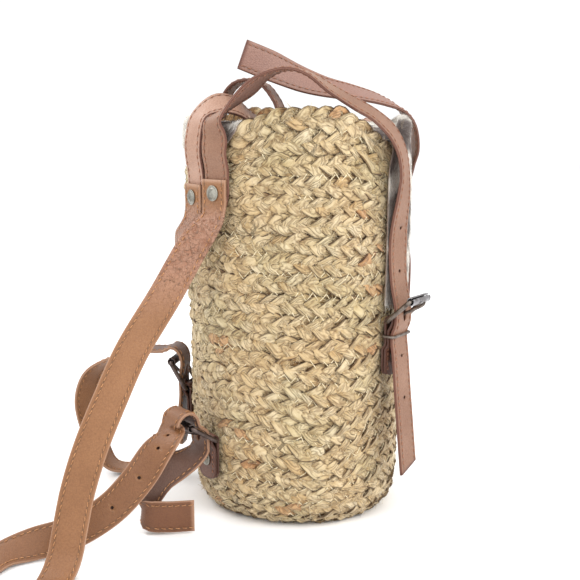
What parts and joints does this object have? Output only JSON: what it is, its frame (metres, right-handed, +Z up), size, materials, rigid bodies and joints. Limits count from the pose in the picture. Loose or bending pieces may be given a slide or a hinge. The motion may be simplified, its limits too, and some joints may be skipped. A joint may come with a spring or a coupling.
{
  "type": "picnic cooler backpack",
  "caption": "Round straw bucket backpack with an insulated liner, a hide flap, leather closing and shoulder straps, roller buckles and a carry handle",
  "frame": {"origin": "centre of the basket's flat base, on the floor", "axes": "+X front of the bag, where the closing straps buckle; -X the wearer's back; +Z up; -Y the wearer's left"},
  "size_m": [0.4111, 0.2875, 0.4076],
  "materials": {
    "straw": "braided natural straw, matte",
    "leather": "tan leather with stitched, dyed edges",
    "hide": "hide with short white and brown-black hair",
    "hardware": "aged gunmetal steel",
    "foam": "closed-cell insulating foam",
    "foil": "silver wipe-clean laminate",
    "board": "stiff brown board"
  },
  "bodies": {
    "bag": {"base_board": "board", "liner_foam": "foam", "liner_foil": "foil", "back_rivet_left": "hardware", "back_rivet_right": "hardware", "front_tab_left": "leather", "front_rivet_left": "hardware", "front_tab_right": "leather", "front_rivet_right": "hardware", "lower_tab_left": "leather", "lower_rivet_left": "hardware", "lower_tab_right": "leather", "lower_rivet_right": "hardware", "basket_body": "straw", "closing_strap_left": "leather", "closing_strap_right": "leather", "shoulder_strap_left": "leather", "shoulder_strap_right": "leather", "handle_rivet_rear": "hardware", "handle_rivet_front": "hardware", "hide_flap": "hide", "carry_handle": "leather"},
    "front_buckle_left_frame": {"front_buckle_left": "hardware"},
    "front_roller_left_tube": {"front_roller_left": "hardware"},
    "front_prong_left_tongue": {"front_prong_left": "hardware"},
    "front_keeper_left_loop": {"front_keeper_left": "leather"},
    "front_buckle_right_frame": {"front_buckle_right": "hardware"},
    "front_roller_right_tube": {"front_roller_right": "hardware"},
    "front_prong_right_tongue": {"front_prong_right": "hardware"},
    "front_keeper_right_loop": {"front_keeper_right": "leather"},
    "lower_buckle_left_frame": {"lower_buckle_left": "hardware"},
    "lower_roller_left_tube": {"lower_roller_left": "hardware"},
    "lower_prong_left_tongue": {"lower_prong_left": "hardware"},
    "lower_buckle_right_frame": {"lower_buckle_right": "hardware"},
    "lower_roller_right_tube": {"lower_roller_right": "hardware"},
    "lower_prong_right_tongue": {"lower_prong_right": "hardware"}
  },
  "joints": [
    {"name": "front_buckle_left_swing", "type": "hinge", "parent": "bag", "child": "front_buckle_left_frame", "pos_m": [0.06632, -0.08251, 0.176], "axis": [-0.7247, -0.689, 0], "range_deg": [0, 15]},
    {"name": "front_roller_left_spin", "type": "hinge", "parent": "front_buckle_left_frame", "child": "front_roller_left_tube", "pos_m": [0.08066, -0.09759, 0.19474], "axis": [-0.7247, -0.689, 0], "continuous": true},
    {"name": "front_prong_left_lift", "type": "hinge", "parent": "bag", "child": "front_prong_left_tongue", "pos_m": [0.06632, -0.08251, 0.176], "axis": [-0.7247, -0.689, 0], "range_deg": [-4, 0]},
    {"name": "front_keeper_left_slide", "type": "slide", "parent": "bag", "child": "front_keeper_left_loop", "axis": [0, 0, 1], "range_m": [-0.004, 0]},
    {"name": "front_buckle_right_swing", "type": "hinge", "parent": "bag", "child": "front_buckle_right_frame", "pos_m": [0.09122, 0.03947, 0.176], "axis": [0.4534, -0.8913, 0], "range_deg": [0, 8]},
    {"name": "front_roller_right_spin", "type": "hinge", "parent": "front_buckle_right_frame", "child": "front_roller_right_tube", "pos_m": [0.10294, 0.04543, 0.20072], "axis": [0.4534, -0.8913, 0], "continuous": true},
    {"name": "front_prong_right_lift", "type": "hinge", "parent": "bag", "child": "front_prong_right_tongue", "pos_m": [0.09122, 0.03947, 0.176], "axis": [0.4534, -0.8913, 0], "range_deg": [-4, 0]},
    {"name": "front_keeper_right_slide", "type": "slide", "parent": "bag", "child": "front_keeper_right_loop", "axis": [0, 0, 1], "range_m": [-0.004, 0]},
    {"name": "lower_buckle_left_swing", "type": "hinge", "parent": "bag", "child": "lower_buckle_left_frame", "pos_m": [-0.09149, -0.04622, 0.072], "axis": [-0.4247, 0.9053, 0], "range_deg": [0, 3]},
    {"name": "lower_roller_left_spin", "type": "hinge", "parent": "lower_buckle_left_frame", "child": "lower_roller_left_tube", "pos_m": [-0.11298, -0.05631, 0.08684], "axis": [-0.4247, 0.9053, 0], "continuous": true},
    {"name": "lower_prong_left_lift", "type": "hinge", "parent": "bag", "child": "lower_prong_left_tongue", "pos_m": [-0.09149, -0.04622, 0.072], "axis": [-0.4247, 0.9053, 0], "range_deg": [-3, 0]},
    {"name": "lower_buckle_right_swing", "type": "hinge", "parent": "bag", "child": "lower_buckle_right_frame", "pos_m": [-0.09556, 0.03159, 0.098], "axis": [0.3943, 0.919, 0], "range_deg": [0, 3]},
    {"name": "lower_roller_right_spin", "type": "hinge", "parent": "lower_buckle_right_frame", "child": "lower_roller_right_tube", "pos_m": [-0.10843, 0.03711, 0.12225], "axis": [0.3943, 0.919, 0], "continuous": true},
    {"name": "lower_prong_right_lift", "type": "hinge", "parent": "bag", "child": "lower_prong_right_tongue", "pos_m": [-0.09556, 0.03159, 0.098], "axis": [0.3943, 0.919, 0], "range_deg": [-3, 0]}
  ]
}
